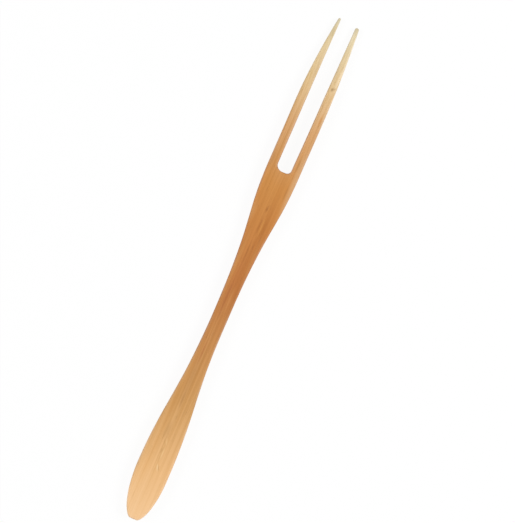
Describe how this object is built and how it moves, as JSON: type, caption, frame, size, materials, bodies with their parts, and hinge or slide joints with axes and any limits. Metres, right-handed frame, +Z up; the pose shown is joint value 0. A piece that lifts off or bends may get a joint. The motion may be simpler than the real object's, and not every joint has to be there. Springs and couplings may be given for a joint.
{
  "type": "bamboo fork",
  "caption": "Flat bamboo fork with a paddle-shaped handle, a narrow waist and long parallel tines, for picking up fruit, sweets and finger food.",
  "frame": {"origin": "on the flat underside, at the middle of the length and of the width", "axes": "+Y along the fork from the butt of the handle to the tips of the tines, +X across it, +Z up through its thickness"},
  "size_m": [0.0058, 0.09, 0.002],
  "materials": {
    "bamboo": "steamed bamboo, tumbled smooth, uncoated, with the grain running along the fork"
  },
  "bodies": {
    "root": {"fork": "bamboo"}
  },
  "joints": []
}
